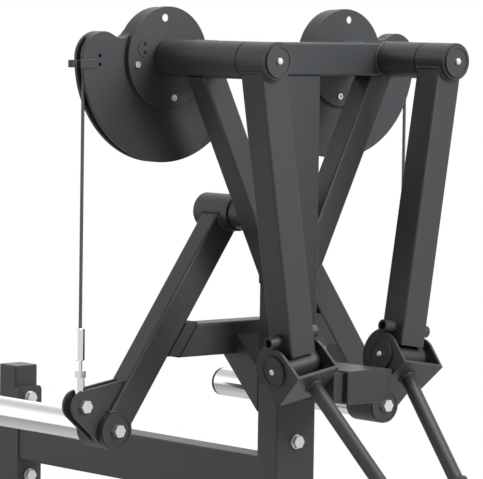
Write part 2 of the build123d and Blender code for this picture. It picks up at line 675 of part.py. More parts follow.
def hand_grip():
    """Rubber sleeve with a closed, wider end."""
    start = ROD_LENGTH - GRIP_LENGTH
    grip = Pos(0, 0, start + GRIP_LENGTH / 2 + 3) * Cylinder(GRIP_R, GRIP_LENGTH + 6)
    grip += Pos(0, 0, ROD_LENGTH + 3) * Cylinder(GRIP_R + 4, 6)
    grip = fillet(grip.edges().filter_by(GeomType.CIRCLE).sort_by(Axis.Z)[-2:], 2)
    grip -= Pos(0, 0, ROD_LENGTH / 2) * Cylinder(ROD_R, ROD_LENGTH)
    return along_rod(grip)


# ---- left lever --------------------------------------------------------------------------
def clevis_outline():
    """A plate from the horn hub to the cable pin and up to the lever tube."""
    hub = Pos(-HORN_X, HORN_Z) * Circle(HUB_R + 1)
    pin = Pos(-CLEVIS_X, CLEVIS_Z) * Circle(25)
    tube = Pos(lever_line(HORN_Z + 78) - 14, HORN_Z + 78) * Circle(4)
    return make_hull((hub + pin + tube).edges())


def lever():
    """Top hub, tube, horn hub and two clevis plates, with the horn's cover and end plug."""
    top = (-LEVER_X, LEVER_Z)
    low = (-HORN_X, HORN_Z)
    body = slanted(top, low, LOAD_Y, LEVER_W, LEVER_D)
    body += rod_y(-LEVER_X, LEVER_Z, 62.5, 145.5, HUB_R)
    body += rod_y(-HORN_X, HORN_Z, HORN_HUB_Y, HORN_HUB_BACK_Y, HUB_R + 1)
    inner = CLEVIS_GAP / 2
    outer = inner + CLEVIS_PLATE
    for y0, y1 in ((LOAD_Y - outer, LOAD_Y - inner), (LOAD_Y + inner, LOAD_Y + outer)):
        plate = plate_xz(clevis_outline(), y0, y1)
        body += plate - slanted(top, low, LOAD_Y, LEVER_W - 2 * WALL, LEVER_D - 2 * WALL, 0)
    body -= rod_y(-LEVER_X, LEVER_Z, 50, 160, AXLE_R + RUNNING_GAP)
    body -= rod_y(-HORN_X, HORN_Z, 60, 160, HORN_SPIGOT_R)
    body -= rod_y(-CLEVIS_X, CLEVIS_Z, 60, 160, CLEVIS_PIN_R)
    horn_cap = end_cap(-HORN_X, HORN_Z, HORN_HUB_Y, -1, HUB_R)
    end_plug = rod_y(-HORN_X, HORN_Z, HORN_END_Y, HORN_END_Y + 4, HORN_R)
    return [body, horn_cap, end_plug]


def weight_horn():
    """Round horn for the weight plates, with a spigot that sits in the lever's hub."""
    horn = rod_y(-HORN_X, HORN_Z, HORN_HUB_BACK_Y, HORN_END_Y, HORN_R)
    horn = chamfer(horn.edges().filter_by(GeomType.CIRCLE).sort_by(Axis.Y)[-1], 1.5)
    return horn + rod_y(-HORN_X, HORN_Z, HORN_HUB_Y, HORN_HUB_BACK_Y, HORN_SPIGOT_R)


def lever_fittings():
    """The hex bolt that holds the horn, and the clevis bolt and nut."""
    horn_bolt = hex_y(-HORN_X, HORN_Z, HORN_HUB_Y - 13, HORN_HUB_Y - 2.8, 19)
    outer = CLEVIS_GAP / 2 + CLEVIS_PLATE
    clevis = rod_y(-CLEVIS_X, CLEVIS_Z, LOAD_Y - outer, LOAD_Y + outer + 9, CLEVIS_PIN_R)
    clevis += hex_y(-CLEVIS_X, CLEVIS_Z, LOAD_Y - outer - 8, LOAD_Y - outer, 19)
    clevis += hex_y(-CLEVIS_X, CLEVIS_Z, LOAD_Y + outer, LOAD_Y + outer + 8, 19)
    return [horn_bolt, clevis]


def axle_retainer():
    """Washer and bolt that keep a lever on its axle."""
    cap = end_cap(-LEVER_X, LEVER_Z, 146.5, 1, 26)
    return [cap, hex_y(-LEVER_X, LEVER_Z, 149.3, 156, 17)]


def cable_terminal():
    """Eye, threaded stud with lock nut, and the sleeve swaged on the cable."""
    eye = rod_y(-CLEVIS_X, CLEVIS_Z, LOAD_Y - 7, LOAD_Y + 7, 13)
    neck = Pos(-CLEVIS_X, LOAD_Y, CLEVIS_Z + 28) * Cylinder(8, 36)
    nut = Pos(-CLEVIS_X, LOAD_Y, CLEVIS_Z + 46) * extrude(RegularPolygon(10.5, 6), amount=11)
    stud = Pos(-CLEVIS_X, LOAD_Y, CLEVIS_Z + 60) * Cylinder(4, 30)
    sleeve = Pos(-CLEVIS_X, LOAD_Y, TERMINAL_TOP_Z - 26) * Cylinder(8, 52)
    sleeve = chamfer(sleeve.edges().filter_by(GeomType.CIRCLE), 1.5)
    body = eye + neck + nut + stud + sleeve
    body -= rod_y(-CLEVIS_X, CLEVIS_Z, 60, 160, CLEVIS_PIN_R + RUNNING_GAP)
    return body


def cable():
    length = CABLE_TOP_Z - TERMINAL_TOP_Z
    return Pos(-CLEVIS_X, LOAD_Y, TERMINAL_TOP_Z + length / 2) * Cylinder(CABLE_R, length)


# ---- writing the nodes -------------------------------------------------------------------
def as_list(shape):
    return list(shape) if isinstance(shape, (list, tuple)) else [shape]


def mirrored(shape):
    return [mirror(piece, Plane.YZ) for piece in as_list(shape)]


def save(node, *shapes):
    solids = []
    for shape in shapes:
        for piece in as_list(shape):
            solids += piece.solids()
    export_step(solids[0] if len(solids) == 1 else Compound(children=solids), "parts/" + node + ".step")


os.makedirs("parts", exist_ok=True)

for node, make in (("main_post", main_post), ("crossbar", crossbar), ("bumper_tube", bumper_tube),
                   ("bumper_strut", bumper_strut), ("arm_stop_bar", arm_stop_bar), ("rear_beam", rear_beam), ("rear_post", rear_post),
                   ("frame_bolts", frame_bolts), ("base_rail", base_rail), ("cross_feet", cross_feet),
                   ("foot_pads", foot_pads), ("end_caps", end_caps), ("seat_stem", seat_stem),
                   ("seat_cushion", seat_cushion), ("thigh_carriage", thigh_carriage)):
    save(node, make())

for node, make in (("pivot_housings", pivot_housing), ("pivot_bearings", pivot_bearings),
                   ("diagonal_braces", diagonal_brace), ("lever_axles", lever_axle),
                   ("axle_retainers", axle_retainer), ("bumper_pads", bumper_pad),
                   ("arm_stop_pads", arm_stop_pad)):
    left = make()
    save(node, left, mirrored(left))

save("seat_post", telescope_post(SEAT_Y, SEAT_POST_TOP_Z, SEAT_PIN_Z))
save("thigh_post", telescope_post(THIGH_Y, THIGH_POST_TOP_Z, THIGH_PIN_Z))
save("seat_pin", pull_pin(SEAT_Y, SEAT_PIN_Z))
save("thigh_pin", pull_pin(THIGH_Y, THIGH_PIN_Z))

for node, make in (("swing_arm", swing_arm), ("pivot_shaft", pivot_shaft), ("arm_caps", arm_caps),
                   ("cam", cam), ("cam_flange", cam_flange), ("cam_fasteners", cam_fasteners),
                   ("cable_anchor", cable_anchor), ("handle_bracket", handle_bracket),
                   ("bracket_pin", bracket_pin), ("handle_rod", handle_rod), ("hand_grip", hand_grip),
                   ("lever", lever), ("weight_horn", weight_horn), ("lever_fittings", lever_fittings),
                   ("cable", cable), ("cable_terminal", cable_terminal), ("foam_roller", foam_roller)):
    left = make()
    save("left_" + node, left)
    save("right_" + node, mirrored(left))
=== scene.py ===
import bpy
import json
import math
import numpy as np
from mathutils import Matrix, Vector
from mathutils.bvhtree import BVHTree


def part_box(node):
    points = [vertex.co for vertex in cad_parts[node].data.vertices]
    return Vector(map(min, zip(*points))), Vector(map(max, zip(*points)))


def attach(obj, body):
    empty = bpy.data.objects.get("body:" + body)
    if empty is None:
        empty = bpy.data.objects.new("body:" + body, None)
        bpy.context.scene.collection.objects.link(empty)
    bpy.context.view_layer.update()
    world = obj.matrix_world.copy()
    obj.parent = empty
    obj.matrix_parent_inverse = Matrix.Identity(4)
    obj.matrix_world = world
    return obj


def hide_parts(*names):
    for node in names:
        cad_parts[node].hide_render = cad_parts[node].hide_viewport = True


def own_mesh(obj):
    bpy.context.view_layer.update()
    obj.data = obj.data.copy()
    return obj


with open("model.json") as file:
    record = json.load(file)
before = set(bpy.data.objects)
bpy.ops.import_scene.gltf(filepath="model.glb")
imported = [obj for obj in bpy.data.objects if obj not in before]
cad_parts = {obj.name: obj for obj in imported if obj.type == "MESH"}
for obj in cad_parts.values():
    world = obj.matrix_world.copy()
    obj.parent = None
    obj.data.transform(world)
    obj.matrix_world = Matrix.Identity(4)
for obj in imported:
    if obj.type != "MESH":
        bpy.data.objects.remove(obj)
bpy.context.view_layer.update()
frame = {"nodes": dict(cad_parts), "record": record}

MM = 0.001
UP = Vector((0, 0, 1))
ACROSS = Vector((1, 0, 0))
REARWARD = Vector((0, 1, 0))
SIDES = (("left", -1), ("right", 1))
JOINTS = {joint["name"]: joint for joint in frame["record"]["behaviour"]["joints"]}
SLOT_OF = {part["node"]: part["material_slot"] for part in frame["record"]["subparts"]}


# ---- camera, stage and light -------------------------------------------------------------
CAMERA_PLACE = Vector((-3.5257, -3.9279, 2.0297))
CAMERA_AZIMUTH = math.radians(-41.059)
CAMERA_PITCH = math.radians(4.093)
CAMERA_ROLL = math.radians(0.8715)
CAMERA_LENS = 239.6
CAMERA_REACH = 100
SENSOR_WIDTH = 36.0

# Name, place, target, width and height, watts.
LIGHTS = (("key", (1.6, -4.6, 4.2), (0, 0, 1.6), (2.4, 2.4), 250),
          ("top", (0.5, -0.2, 4.6), (0.1, 0, 1.5), (2.2, 2.2), 110))

WHITE = (1, 1, 1, 1)
BACKDROP_GLOW = 1.0
FRONT_GLOW = 0.8
BACK_GLOW = 1.3
GLOW_RISE = (-0.1, 0.45)    # rearward part of a reflection's direction, from the front's glow to the back's
SOFT_GLOW = 0.2
# Brightness of reflections by height, from 0 for straight down to 1 for straight up.
REFLECTED_BAND = ((0.0, 0.8), (0.3, 0.8), (0.37, 0.42), (0.43, 1.0), (0.7, 1.0), (0.8, 0.55), (0.88, 0.5),
                  (0.92, 0.6), (1.0, 0.8))

FLOOR_RADIUS = 6
FLOOR_SIDES = 96


def add_camera():
    """A long lens at the left front corner, a little above the arms' axles."""
    flat = math.cos(CAMERA_PITCH)
    back = Vector((math.sin(CAMERA_AZIMUTH) * flat, -math.cos(CAMERA_AZIMUTH) * flat, math.sin(CAMERA_PITCH)))
    level = (-back).cross(UP).normalized()
    upright = level.cross(-back)
    across = level * math.cos(CAMERA_ROLL) + upright * math.sin(CAMERA_ROLL)
    above = upright * math.cos(CAMERA_ROLL) - level * math.sin(CAMERA_ROLL)
    lens = bpy.data.cameras.new("camera")
    lens.lens = CAMERA_LENS
    lens.sensor_width = SENSOR_WIDTH
    lens.clip_end = CAMERA_REACH
    camera = bpy.data.objects.new("camera", lens)
    bpy.context.scene.collection.objects.link(camera)
    turn = Matrix((across, above, back)).transposed().to_4x4()
    camera.matrix_world = Matrix.Translation(CAMERA_PLACE) @ turn
    bpy.context.scene.camera = camera


def add_light(name, place, target, size, power):
    lamp = bpy.data.lights.new(name, "AREA")
    lamp.shape = "RECTANGLE"
    lamp.size, lamp.size_y = size
    lamp.energy = power
    light = bpy.data.objects.new(name, lamp)
    bpy.context.scene.collection.objects.link(light)
    aim = (Vector(target) - Vector(place)).to_track_quat("-Z", "Y")
    light.matrix_world = Matrix.Translation(place) @ aim.to_matrix().to_4x4()
    light.visible_camera = False


def add_world():
    """White behind the object. Reflections see a bright back wall with a dark band, and a dimmer front."""
    bpy.context.scene.view_settings.view_transform = "Standard"
    world = bpy.data.worlds.new("studio")
    world.use_nodes = True
    bpy.context.scene.world = world
    tree = world.node_tree
    seen = tree.nodes["Background"]
    seen.inputs["Color"].default_value = WHITE
    seen.inputs["Strength"].default_value = BACKDROP_GLOW
    direction = tree.nodes.new("ShaderNodeTexCoord")
    parts = tree.nodes.new("ShaderNodeSeparateXYZ")
    tree.links.new(direction.outputs["Generated"], parts.inputs[0])
    band = tree.nodes.new("ShaderNodeValToRGB")
    while len(band.color_ramp.elements) < len(REFLECTED_BAND):
        band.color_ramp.elements.new(0.5)
    for element, (place, level) in zip(band.color_ramp.elements, REFLECTED_BAND):
        element.position = place
        element.color = (level, level, level, 1)
    height = ramp(tree, parts.outputs["Z"], low=0.0, high=1.0, start=-1.0, stop=1.0)
    tree.links.new(height, band.inputs["Fac"])
    wall = ramp(tree, parts.outputs["Y"], FRONT_GLOW, BACK_GLOW, *GLOW_RISE)
    reflected = tree.nodes.new("ShaderNodeBackground")
    tree.links.new(band.outputs["Color"], reflected.inputs["Color"])
    tree.links.new(wall, reflected.inputs["Strength"])
    around = tree.nodes.new("ShaderNodeBackground")
    around.inputs["Color"].default_value = WHITE
    around.inputs["Strength"].default_value = SOFT_GLOW
    path = tree.nodes.new("ShaderNodeLightPath")
    last = around.outputs[0]
    for ray, glow in (("Is Glossy Ray", reflected), ("Is Camera Ray", seen)):
        mix = tree.nodes.new("ShaderNodeMixShader")
        tree.links.new(path.outputs[ray], mix.inputs[0])
        tree.links.new(last, mix.inputs[1])
        tree.links.new(glow.outputs[0], mix.inputs[2])
        last = mix.outputs[0]
    tree.links.new(last, tree.nodes["World Output"].inputs["Surface"])


def add_stage():
    """A round pale floor."""
    rim = [tuple(point) for point in circle(Vector(), ACROSS, REARWARD, FLOOR_RADIUS, FLOOR_SIDES)]
    mesh = bpy.data.meshes.new("floor")
    mesh.from_pydata(rim, [], [range(FLOOR_SIDES)])
    floor = bpy.data.objects.new("floor", mesh)
    bpy.context.scene.collection.objects.link(floor)
    tree, shader = new_material("floor")
    shader.inputs["Roughness"].default_value = 0.6
    noise = pattern(tree, NOISE, scale=3.0)
    tint(tree, shader, noise, dark=(0.82, 0.82, 0.81), light=(0.85, 0.85, 0.84))
    mesh.materials.append(bpy.data.materials["floor"])


# ---- material helpers --------------------------------------------------------------------
NOISE = "ShaderNodeTexNoise"
CELLS = "ShaderNodeTexVoronoi"


def new_material(name):
    made = bpy.data.materials.new(name)
    made.use_nodes = True
    return made.node_tree, made.node_tree.nodes["Principled BSDF"]


def pattern(tree, kind, scale, stretch=(1, 1, 1), **inputs):
    """A texture in the object's own coordinates. Scale is in features per metre."""
    place = tree.nodes.new("ShaderNodeTexCoord")
    mapping = tree.nodes.new("ShaderNodeMapping")
    mapping.inputs["Scale"].default_value = stretch
    texture = tree.nodes.new(kind)
    texture.inputs["Scale"].default_value = scale
    for socket, value in inputs.items():
        texture.inputs[socket].default_value = value
    tree.links.new(place.outputs["Object"], mapping.inputs["Vector"])
    tree.links.new(mapping.outputs["Vector"], texture.inputs["Vector"])
    return texture.outputs[0]


def ramp(tree, value, low, high, start, stop):
    """The value turned into another range, clamped at both ends."""
    node = tree.nodes.new("ShaderNodeMapRange")
    node.inputs["From Min"].default_value = start
    node.inputs["From Max"].default_value = stop
    node.inputs["To Min"].default_value = low
    node.inputs["To Max"].default_value = high
    tree.links.new(value, node.inputs["Value"])
    return node.outputs["Result"]


def tint(tree, shader, value, dark, light, start=0.35, stop=0.65):
    """Colours the surface from dark to light as the value rises."""
    colours = tree.nodes.new("ShaderNodeValToRGB")
    colours.color_ramp.elements[0].position = start
    colours.color_ramp.elements[0].color = (*dark, 1)
    colours.color_ramp.elements[1].position = stop
    colours.color_ramp.elements[1].color = (*light, 1)
    tree.links.new(value, colours.inputs["Fac"])
    tree.links.new(colours.outputs["Color"], shader.inputs["Base Color"])


def gloss(tree, shader, value, low, high, start=0.35, stop=0.65):
    tree.links.new(ramp(tree, value, low, high, start, stop), shader.inputs["Roughness"])


def relief(tree, shader, value, depth, strength):
    """Adds a bump to the surface, on top of those that it has."""
    bump = tree.nodes.new("ShaderNodeBump")
    bump.inputs["Strength"].default_value = strength
    bump.inputs["Distance"].default_value = depth
    tree.links.new(value, bump.inputs["Height"])
    normal = shader.inputs["Normal"]
    if normal.is_linked:
        tree.links.new(normal.links[0].from_socket, bump.inputs["Normal"])
    tree.links.new(bump.outputs["Normal"], normal)


# ---- materials ---------------------------------------------------------------------------
SMUDGE_SHADE = 0.86

# The marks are drawn out along the axis where the stretch is small, and are as deep as the depth says.
METALS = {
    "chrome": dict(colour=(0.95, 0.95, 0.95), roughness=(0.17, 0.25), stretch=(1, 0.1, 1), depth=0.003 * MM),
    "zinc": dict(colour=(0.93, 0.93, 0.92), roughness=(0.2, 0.34), stretch=(1, 1, 1), depth=0.04 * MM),
    "steel": dict(colour=(0.6, 0.6, 0.61), roughness=(0.2, 0.34), stretch=(1, 0.08, 1), depth=0.03 * MM),
    "bronze": dict(colour=(0.62, 0.46, 0.26), roughness=(0.3, 0.45), stretch=(1, 0.1, 1), depth=0.04 * MM),
}

# The grain is in features per metre.
MOULDED = {
    "rubber": dict(dark=(0.013, 0.013, 0.013), light=(0.022, 0.022, 0.022), roughness=(0.62, 0.8),
                   grain=700, depth=0.2 * MM),
    "plastic": dict(dark=(0.018, 0.018, 0.019), light=(0.026, 0.026, 0.027), roughness=(0.38, 0.5),
                    grain=900, depth=0.1 * MM),
    "steel_cable": dict(dark=(0.016, 0.016, 0.017), light=(0.03, 0.03, 0.031), roughness=(0.35, 0.5),
                        grain=800, depth=0.12 * MM),
}


def powder_coat():
    """Black powder coat: an orange peel with a finer wrinkle, and blotches that are paler and duller."""
    tree, shader = new_material("black_paint")
    shader.inputs["Specular IOR Level"].default_value = 0.1
    blotches = pattern(tree, NOISE, scale=11, Detail=6.0, Roughness=0.65)
    tint(tree, shader, blotches, dark=(0.0128, 0.0112, 0.0108), light=(0.0215, 0.0188, 0.0181),
         start=0.3, stop=0.7)
    gloss(tree, shader, blotches, low=0.44, high=0.58, start=0.3, stop=0.7)
    orange_peel = pattern(tree, NOISE, scale=240, Detail=3.0, Roughness=0.6)
    relief(tree, shader, orange_peel, depth=0.9 * MM, strength=0.8)
    wrinkle = pattern(tree, NOISE, scale=700, Detail=3.0, Roughness=0.55)
    relief(tree, shader, wrinkle, depth=0.3 * MM, strength=0.8)


def bright_metal(name, colour, roughness, stretch, depth):
    """Bare or plated metal with fine marks and faint smudges."""
    tree, shader = new_material(name)
    shader.inputs["Metallic"].default_value = 1.0
    smudge = pattern(tree, NOISE, scale=22, Detail=4.0)
    darker = [channel * SMUDGE_SHADE for channel in colour]
    tint(tree, shader, smudge, darker, colour)
    marks = pattern(tree, NOISE, scale=90, stretch=stretch, Detail=4.0, Roughness=0.7)
    gloss(tree, shader, marks, *roughness)
    relief(tree, shader, marks, depth, strength=0.5)


def moulded(name, dark, light, roughness, grain, depth):
    """Black rubber or plastic with a fine skin."""
    tree, shader = new_material(name)
    blotches = pattern(tree, NOISE, scale=14, Detail=5.0)
    tint(tree, shader, blotches, dark, light)
    gloss(tree, shader, blotches, *roughness)
    skin_marks = pattern(tree, NOISE, scale=grain, Detail=4.0, Roughness=0.65)
    relief(tree, shader, skin_marks, depth, strength=0.8)


def vinyl():
    """Grained upholstery vinyl: small cells, a shallow crease relief over them, and painted shade that darkens
    the crease hollows and lightens their rises.
    """
    tree, shader = new_material("vinyl")
    shader.inputs["Sheen Weight"].default_value = 0.08
    cells = pattern(tree, CELLS, scale=420, Randomness=0.9)
    relief(tree, shader, cells, depth=0.35 * MM, strength=0.8)
    crease_relief_and_shade = pattern(tree, NOISE, scale=60, Detail=6.0, Roughness=0.6)
    relief(tree, shader, crease_relief_and_shade, depth=0.6 * MM, strength=0.35)
    # Painted shade: the colour follows the crease relief, darker in its hollows and lighter on its rises.
    tint(tree, shader, crease_relief_and_shade, dark=(0.016, 0.016, 0.018), light=(0.03, 0.03, 0.032))
    gloss(tree, shader, cells, low=0.36, high=0.56, start=0.1, stop=0.6)


def foam():
    """Closed-cell foam: soft speckled surface with small pits."""
    tree, shader = new_material("foam")
    shader.inputs["Roughness"].default_value = 0.9
    shader.inputs["Sheen Weight"].default_value = 0.25
    pits = pattern(tree, CELLS, scale=520)
    relief(tree, shader, pits, depth=0.5 * MM, strength=0.9)
    speckle = pattern(tree, NOISE, scale=240, Detail=5.0)
    tint(tree, shader, speckle, dark=(0.02, 0.02, 0.022), light=(0.05, 0.05, 0.053))


def make_materials():
    powder_coat()
    vinyl()
    foam()
    for name, look in METALS.items():
        bright_metal(name, **look)
    for name, look in MOULDED.items():
        moulded(name, **look)


def coat_cad_nodes():
    """Each node keeps its shape and gets the material of its slot in the record."""
    for name, node in frame["nodes"].items():
        node.data.materials.clear()
        node.data.materials.append(bpy.data.materials[SLOT_OF[name]])


# ---- mesh helpers ------------------------------------------------------------------------
def piece_from(name, points, faces, material, body, smooth=True):
    mesh = bpy.data.meshes.new(name)
    mesh.from_pydata([tuple(point) for point in points], [], faces)
    mesh.validate()
    mesh.polygons.foreach_set("use_smooth", [smooth] * len(mesh.polygons))
    mesh.materials.append(bpy.data.materials[material])
    mesh.update()
    piece = bpy.data.objects.new(name, mesh)
    bpy.context.scene.collection.objects.link(piece)
    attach(piece, body)
    return piece


def skin(rings, closed=False):
    """Points and faces of a tube through rings of points, capped at its ends unless it closes."""
    count = len(rings[0])
    points = [point for ring in rings for point in ring]
    faces = []
    for index in range(len(rings) if closed else len(rings) - 1):
        here = index * count
        there = (index + 1) % len(rings) * count
        for step in range(count):
            after = (step + 1) % count
            faces.append((here + step, here + after, there + after, there + step))
    if not closed:
        faces.append(tuple(range(count - 1, -1, -1)))
        faces.append(tuple(range(len(points) - count, len(points))))
    return points, faces


def circle(centre, across, above, radius, count):
    """Points round a centre in the plane of two unit vectors. Radius may be a function of the angle."""
    ring = []
    for step in range(count):
        angle = 2 * math.pi * step / count
        reach = radius(angle) if callable(radius) else radius
        ring.append(centre + across * (reach * math.cos(angle)) + above * (reach * math.sin(angle)))
    return ring


def lathe(name, start, axis, profile, material, body, bored=False, count=48):
    """A turned piece: the profile lists (distance along the axis, radius). A bored one is a closed profile."""
    axis = Vector(axis).normalized()
    across = axis.orthogonal().normalized()
    above = axis.cross(across)
    rings = [circle(Vector(start) + axis * far, across, above, radius, count) for far, radius in profile]
    points, faces = skin(rings, closed=bored)
    return piece_from(name, points, faces, material, body)


def dense(corners, spacing):
    """Points at about this spacing along the sides of a closed loop of corners."""
    path = []
    for here, there in zip(corners, corners[1:] + corners[:1]):
        steps = max(1, round((there - here).length / spacing))
        path += [here.lerp(there, step / steps) for step in range(steps)]
    return path


def rectangle(centre, across, above, half_across, half_above):
    """Four corners of a rectangle, from two unit vectors and its half sizes."""
    signs = ((-1, -1), (1, -1), (1, 1), (-1, 1))
    return [Vector(centre) + across * (a * half_across) + above * (b * half_above) for a, b in signs]


# ---- weld beads --------------------------------------------------------------------------
BEAD_RADIUS = 2.6 * MM
BEAD_RIPPLE = 3.2 * MM
BEAD_SWELL = 0.16
BEAD_STEP = 1.1 * MM
BEAD_SIDES = 8
SADDLE_STEP = 2 * MM
ARM_HALF = 26 * MM
HUB_RADIUS = 30 * MM
HORN_HUB_RADIUS = 31 * MM
LEVER_HALF = (25 * MM, 20 * MM)
CROSSBAR_HALF = (27.5 * MM, 25 * MM)
BRACE_FOOT = (42.5 * MM, 1632.8 * MM)
BRACE_HALF = (22 * MM, 50 * MM)
FLANGE_THICK = 10 * MM
BEAM_HALF = (25 * MM, 41 * MM)
TELESCOPE_HALF = 30 * MM
ROD_RADIUS = 12.5 * MM
ROD_WELD_DROP = MM
ROD_WELD_POINTS = 36


def add_welds(name, loops, body):
    """One piece for the weld beads of one body, from closed loops of corners."""
    points = []
    faces = []
    for loop in loops:
        new_points, new_faces = skin(steady_rings(loop), closed=True)
        faces += [tuple(len(points) + corner for corner in face) for face in new_faces]
        points += new_points
    return piece_from(name, points, faces, "black_paint", body)


def steady_rings(corners):
    """Bead rings whose first points line up, so that the tube between them doesn't twist."""
    path = dense(corners, BEAD_STEP)
    centre = sum(path, Vector()) / len(path)
    rings = []
    for index, point in enumerate(path):
        ahead = (path[(index + 1) % len(path)] - path[index - 1]).normalized()
        outward = point - centre
        outward = (outward - ahead * outward.dot(ahead)).normalized()
        above = ahead.cross(outward)
        swell = 1 + BEAD_SWELL * math.sin(2 * math.pi * index * BEAD_STEP / BEAD_RIPPLE)
        rings.append(circle(point, outward, above, BEAD_RADIUS * swell, BEAD_SIDES))
    return rings


def saddle(centre, across, along, out, half_across, half_along, radius):
    """Loop where a rectangular tube, pointing out, meets a round hub that lies along 'along'."""
    loop = []
    for point in dense(rectangle(Vector(), across, along, half_across, half_along), SADDLE_STEP):
        offset = point.dot(across)
        loop.append(centre + point + out * math.sqrt(max(radius ** 2 - offset ** 2, 0)))
    return loop


def joint_place(name):
    return Vector(JOINTS[name]["pos_m"])


def ends_of(node):
    """The two end centres of a long straight node, the upper one first."""
    points = np.array([vertex.co for vertex in frame["nodes"][node].data.vertices])
    middle = points.mean(0)
    axis = np.linalg.svd(points - middle, full_matrices=False)[2][0]
    axis = axis * -np.sign(axis[2])
    reach = (points - middle) @ axis
    return Vector(middle + axis * reach.min()), Vector(middle + axis * reach.max())


def post_foot(node, half=None):
    """Loop round the foot of a post. Without a half size, the post fills its node's box."""
    low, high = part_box(node)
    if half is None:
        return rectangle(((low.x + high.x) / 2, (low.y + high.y) / 2, low.z), ACROSS, REARWARD,
                         (high.x - low.x) / 2, (high.y - low.y) / 2)
    return rectangle((0, high.y - half, low.z), ACROSS, REARWARD, half, half)


def frame_welds():
    loops = [post_foot("main_post"), post_foot("rear_post")]
    loops += [post_foot("seat_post", TELESCOPE_HALF), post_foot("thigh_post", TELESCOPE_HALF)]
    low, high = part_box("rear_beam")
    for y in (low.y + FLANGE_THICK, high.y - FLANGE_THICK):
        loops.append(rectangle((0, y, (low.z + high.z) / 2), ACROSS, UP, *BEAM_HALF))
    low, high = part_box("arm_stop_bar")
    loops.append(rectangle((0, high.y, (low.z + high.z) / 2), ACROSS, UP, high.x, (high.z - low.z) / 2))
    low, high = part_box("base_rail")
    rail_low, rail_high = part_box("cross_feet")
    for y in (low.y, high.y):
        loops.append(rectangle((0, y, (rail_low.z + rail_high.z) / 2), ACROSS, UP, high.x,
                               (rail_high.z - rail_low.z) / 2))
    for side, sign in SIDES:
        housing = joint_place(side + "_arm_swing")
        housing.y = 0
        loops.append(saddle(housing, UP, REARWARD, ACROSS * -sign, *CROSSBAR_HALF, HUB_RADIUS))
        foot = (sign * BRACE_FOOT[0], 0, BRACE_FOOT[1])
        loops.append(rectangle(foot, REARWARD, UP, *BRACE_HALF))
    add_welds("frame_welds", loops, "frame")


def arm_welds(side):
    pivot = joint_place(side + "_arm_swing")
    down = (joint_place(side + "_handle_fold") - pivot).normalized()
    across = down.cross(REARWARD)
    loop = saddle(pivot, across, REARWARD, down, ARM_HALF, ARM_HALF, HUB_RADIUS)
    add_welds(side + "_arm_welds", [loop], side + "_arm")


def lever_welds(side):
    top = joint_place(side + "_lever_swing")
    low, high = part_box(side + "_weight_horn")
    horn = Vector(((low.x + high.x) / 2, top.y, (low.z + high.z) / 2))
    down = (horn - top).normalized()
    across = down.cross(REARWARD)
    loops = [saddle(top, across, REARWARD, down, *LEVER_HALF, HUB_RADIUS),
             saddle(horn, across, REARWARD, -down, *LEVER_HALF, HORN_HUB_RADIUS)]
    add_welds(side + "_lever_welds", loops, side + "_lever")


def rod_weld(side):
    top, bottom = ends_of(side + "_handle_rod")
    axis = (bottom - top).normalized()
    across = axis.orthogonal().normalized()
    loop = circle(top + axis * ROD_WELD_DROP, across, axis.cross(across), ROD_RADIUS, ROD_WELD_POINTS)
    add_welds(side + "_rod_weld", [loop], side + "_handle")


# ---- keeper plates -----------------------------------------------------------------------
PLATE_LENGTH = 37 * MM
PLATE_HALF_HEIGHT = 7.2 * MM
PLATE_THICK = 1.2 * MM
PLATE_FROM_EDGE = 13 * MM
PLATE_CORNER = 3 * MM
PLATE_CORNER_STEPS = 4
# Depth in thicknesses and inset, from inside the cam to the plate's outer face.
PLATE_LAYERS = ((0.4, 0), (-0.7, 0), (-1, 0.4 * MM))
# The side of each corner across and up, and the angle where its arc starts.
PLATE_CORNERS = ((1, 1, 0), (-1, 1, 90), (-1, -1, 180), (1, -1, 270))


def anchor_plate(side, sign):
    """Thin keeper plate on the cam's front, over the end of the cable, with round corners."""
    low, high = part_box(side + "_cable_anchor")
    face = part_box(side + "_cam")[0].y
    outer = low.x if sign < 0 else high.x
    centre = Vector((outer - sign * (PLATE_FROM_EDGE + PLATE_LENGTH / 2), face, (low.z + high.z) / 2))
    rings = []
    for depth, inset in PLATE_LAYERS:
        ring = []
        for corner_x, corner_z, first in PLATE_CORNERS:
            for step in range(PLATE_CORNER_STEPS + 1):
                angle = math.radians(first + step * 90 / PLATE_CORNER_STEPS)
                x = corner_x * (PLATE_LENGTH / 2 - PLATE_CORNER) + math.cos(angle) * (PLATE_CORNER - inset)
                z = corner_z * (PLATE_HALF_HEIGHT - PLATE_CORNER) + math.sin(angle) * (PLATE_CORNER - inset)
                ring.append(centre + Vector((x, depth * PLATE_THICK, z)))
        rings.append(ring)
    points, faces = skin(rings)
    piece_from(side + "_anchor_plate", points, faces, "black_paint", side + "_arm", smooth=False)


# ---- cables ------------------------------------------------------------------------------
CABLE_RADIUS = 2.75 * MM
CABLE_SIDES = 36
CABLE_STEP = 2 * MM
STRAND_RELIEF = 0.12 * MM
STRANDS = 6
STRAND_LAY = 34 * MM


def add_cable(side):
    """Coated wire rope whose strands show through."""
    low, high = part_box(side + "_cable")
    centre = (low + high) / 2
    steps = round((high.z - low.z) / CABLE_STEP)
    rings = []
    for step in range(steps + 1):
        z = low.z + (high.z - low.z) * step / steps
        turn = 2 * math.pi * (z - low.z) / STRAND_LAY

        def lobes(angle):
            return CABLE_RADIUS + STRAND_RELIEF * math.cos(STRANDS * (angle - turn))

        rings.append(circle(Vector((centre.x, centre.y, z)), ACROSS, REARWARD, lobes, CABLE_SIDES))
    points, faces = skin(rings)
    cable = piece_from(side + "_rope", points, faces, "steel_cable", side + "_cable_end")
    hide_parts(side + "_cable")
    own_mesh(cable)


# ---- grips and rollers -------------------------------------------------------------------
GRIP_RADIUS = 17 * MM
GRIP_RIB = 7 * MM
GRIP_RIB_DEPTH = 0.9 * MM
GRIP_RIB_STEP = 0.7 * MM
GRIP_RIBS_FROM = 5 * MM     # from the grip's top
GRIP_RIBS_TO = 16 * MM      # from the grip's end
